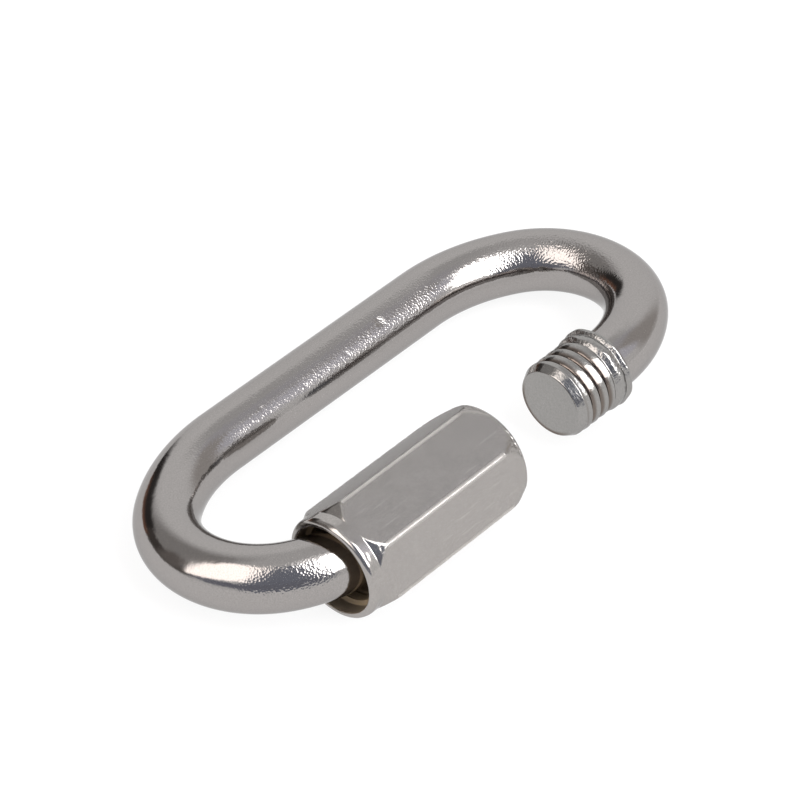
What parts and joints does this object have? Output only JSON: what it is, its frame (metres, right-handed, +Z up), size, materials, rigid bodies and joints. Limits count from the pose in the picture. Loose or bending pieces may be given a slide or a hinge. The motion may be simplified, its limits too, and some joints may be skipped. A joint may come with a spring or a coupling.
{
  "type": "chain quick link",
  "caption": "Oval link of bent round steel rod with a gap in one side, closed by a long hexagon sleeve nut that screws along one threaded arm onto the other.",
  "frame": {"origin": "middle of the link's box, on the surface that it lies on", "axes": "+X along the link and its nut, towards the bare threaded end; +Y towards the back rod; +Z up"},
  "size_m": [0.08, 0.0384, 0.0146],
  "materials": {
    "tumbled_steel": "bright tumbled stainless steel, fine pebbled texture in the highlights, small nicks",
    "satin_steel": "drawn hexagon bar, satin flats with fine scratches, bright turned ends and edges"
  },
  "bodies": {
    "link": {"bent_rod": "tumbled_steel"},
    "nut": {"sleeve_nut": "satin_steel"}
  },
  "joints": [
    {"name": "nut_travel", "type": "slide", "parent": "link", "child": "nut", "axis": [1, 0, 0], "range_m": [0, 0.0186]}
  ]
}
